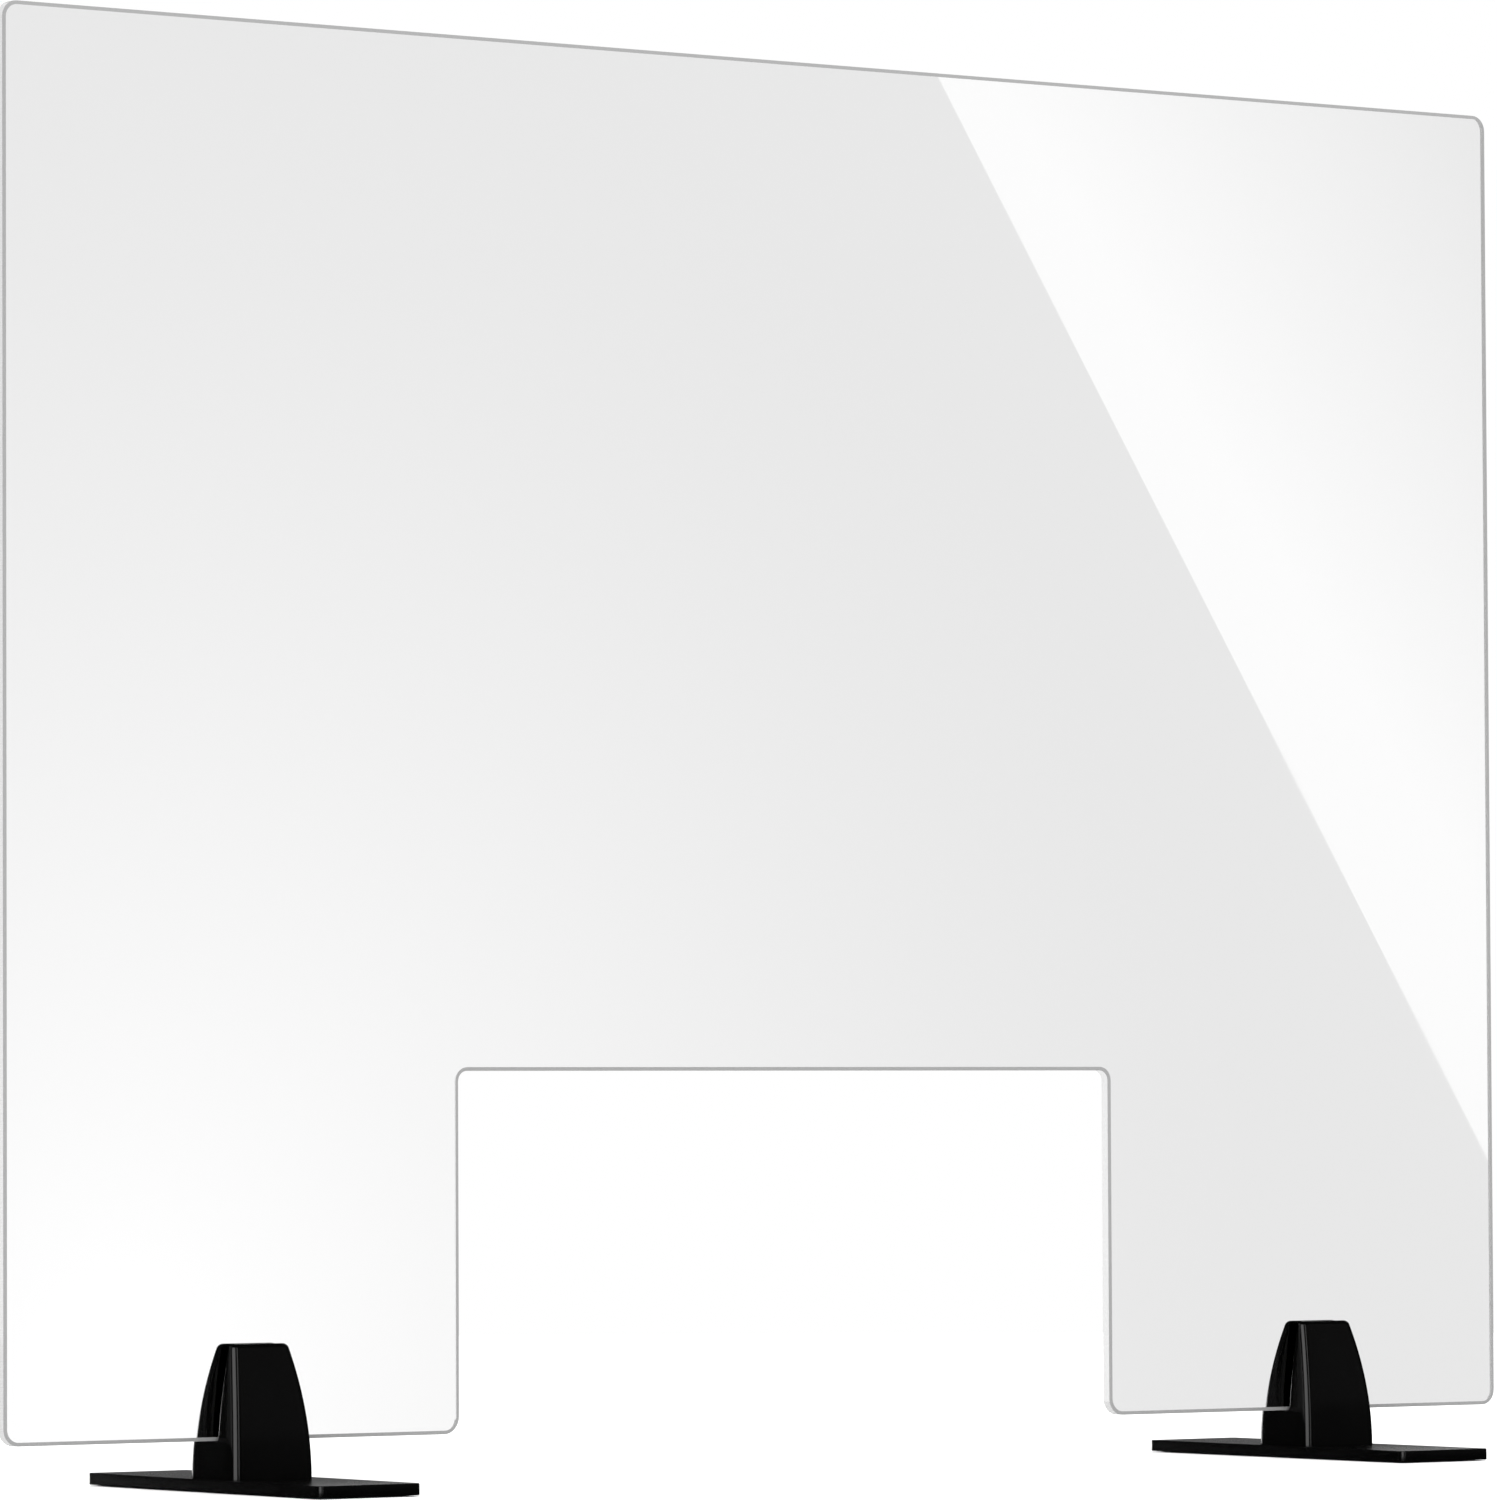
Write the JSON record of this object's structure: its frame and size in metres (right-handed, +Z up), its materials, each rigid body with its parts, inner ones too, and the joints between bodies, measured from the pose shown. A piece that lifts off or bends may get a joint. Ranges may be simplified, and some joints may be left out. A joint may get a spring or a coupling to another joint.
{
  "type": "desk privacy panel",
  "caption": "Free-standing clear desk screen with a pass-through window, held on edge in slotted uprights on flat base plates; lifts out and its feet slide along it.",
  "frame": {"origin": "on the desk, midway along the sheet and in its mid-plane", "axes": "+X along the sheet, to the right seen from in front; +Y from the front to the back, along the base plates; +Z up"},
  "size_m": [0.8, 0.185, 0.6215],
  "materials": {
    "clear_acrylic": "clear, polished",
    "gloss_black_plastic": "gloss moulded",
    "black_powder_coat": "gloss powder coat",
    "zinced_steel": "bright zinc plate",
    "black_rubber": "matt"
  },
  "bodies": {
    "left_foot": {"left_base_plate": "black_powder_coat", "left_upright": "gloss_black_plastic", "left_screw_outer": "zinced_steel", "left_screw_inner": "zinced_steel", "left_pad_front_outer": "black_rubber", "left_pad_front_inner": "black_rubber", "left_pad_rear_outer": "black_rubber", "left_pad_rear_inner": "black_rubber"},
    "panel": {"acrylic_panel": "clear_acrylic"},
    "right_foot": {"right_base_plate": "black_powder_coat", "right_upright": "gloss_black_plastic", "right_screw_outer": "zinced_steel", "right_screw_inner": "zinced_steel", "right_pad_front_outer": "black_rubber", "right_pad_front_inner": "black_rubber", "right_pad_rear_outer": "black_rubber", "right_pad_rear_inner": "black_rubber"}
  },
  "joints": [
    {"name": "panel_lift", "type": "slide", "parent": "left_foot", "child": "panel", "axis": [0, 0, 1], "range_m": [0, 0.045]},
    {"name": "right_foot_slide", "type": "slide", "parent": "left_foot", "child": "right_foot", "axis": [1, 0, 0], "range_m": [-0.09, 0.075]}
  ]
}
